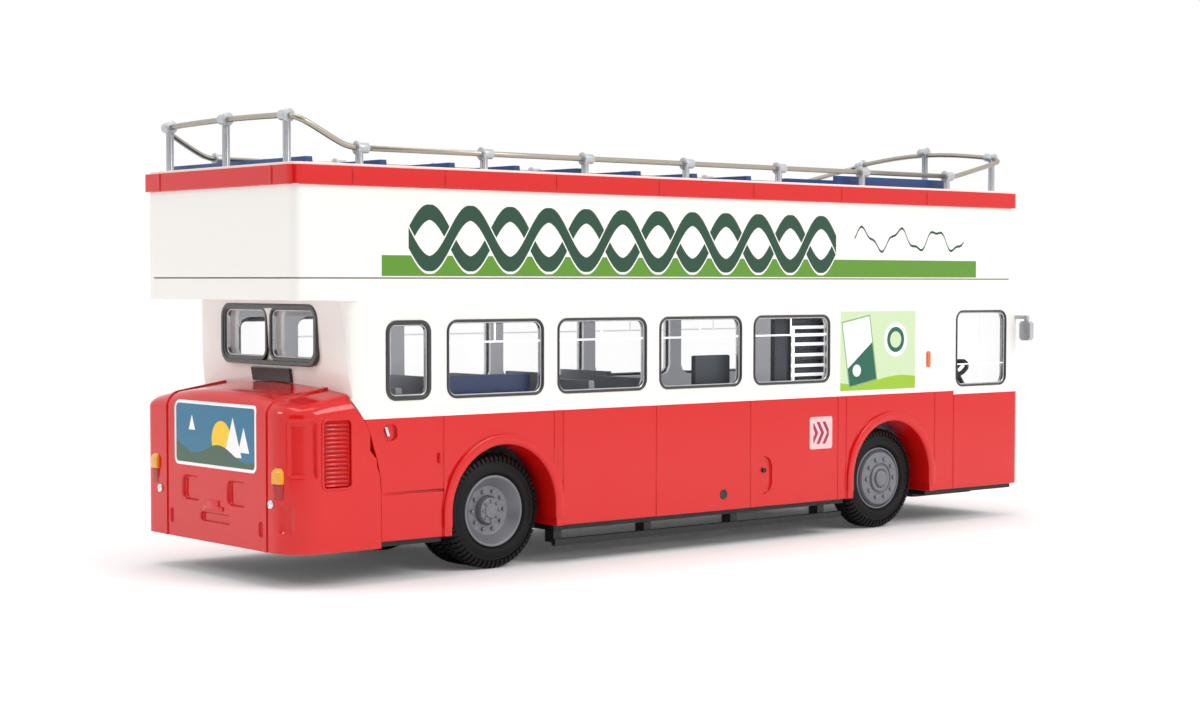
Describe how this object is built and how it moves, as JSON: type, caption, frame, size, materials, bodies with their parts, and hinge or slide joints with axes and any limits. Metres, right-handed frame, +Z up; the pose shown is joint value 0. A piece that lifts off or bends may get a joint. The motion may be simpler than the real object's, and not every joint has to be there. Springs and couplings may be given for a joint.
{
  "type": "scale model open-top double decker bus",
  "caption": "Die-cast scale model of an open-top double decker bus with hollow decks, seats, glazing, upper-deck handrail, rear engine cover and free-rolling wheels.",
  "frame": {"origin": "on the floor under the middle of the bus", "axes": "+X towards the front, +Y towards the nearside (left), +Z up"},
  "size_m": [0.1222, 0.038, 0.053],
  "materials": {
    "casting_paint": "gloss, red below the waist and white above",
    "red_paint": "gloss red",
    "black_plastic": "satin black",
    "blue_plastic": "satin blue",
    "grey_plastic": "satin grey",
    "silver_plastic": "silver painted",
    "wheel_grey": "satin grey",
    "clear_glazing": "clear",
    "rail_steel": "drawn wire",
    "axle_steel": "ground pin",
    "lamp_chrome": "bright silver",
    "lamp_amber": "gloss amber",
    "tyre_rubber": "matt black"
  },
  "bodies": {
    "root": {"lower_body": "casting_paint", "upper_body": "casting_paint", "engine_cover": "red_paint", "chassis": "black_plastic", "upper_seats": "blue_plastic", "lower_seats": "grey_plastic", "steering_wheel": "grey_plastic", "glazing_offside": "clear_glazing", "glazing_nearside": "clear_glazing", "rear_glass": "clear_glazing", "windscreen": "clear_glazing", "rail_left": "rail_steel", "rail_right": "rail_steel", "rail_rear": "rail_steel", "rail_front": "rail_steel", "posts_left": "silver_plastic", "posts_right": "silver_plastic", "posts_rear": "silver_plastic", "posts_front": "silver_plastic", "guard_left": "black_plastic", "guard_right": "black_plastic", "mirror_left": "silver_plastic", "mirror_right": "silver_plastic", "headlamps": "lamp_chrome", "rear_lamps": "lamp_amber", "side_lamps": "lamp_amber", "entrance_doors": "silver_plastic", "staircase": "grey_plastic", "cab": "grey_plastic", "reflectors": "lamp_chrome"},
    "front_wheels": {"front_axle": "axle_steel", "front_tyre_left": "tyre_rubber", "front_hub_left": "wheel_grey", "front_tyre_right": "tyre_rubber", "front_hub_right": "wheel_grey"},
    "rear_wheels": {"rear_axle": "axle_steel", "rear_tyre_left": "tyre_rubber", "rear_hub_left": "wheel_grey", "rear_tyre_right": "tyre_rubber", "rear_hub_right": "wheel_grey", "rear_inner_tyre_left": "tyre_rubber", "rear_inner_tyre_right": "tyre_rubber"}
  },
  "joints": [
    {"name": "front_wheels_roll", "type": "hinge", "parent": "root", "child": "front_wheels", "pos_m": [0.0331, 0, 0.00673], "axis": [0, 1, 0], "continuous": true},
    {"name": "rear_wheels_roll", "type": "hinge", "parent": "root", "child": "rear_wheels", "pos_m": [-0.03215, 0, 0.00673], "axis": [0, 1, 0], "continuous": true}
  ]
}
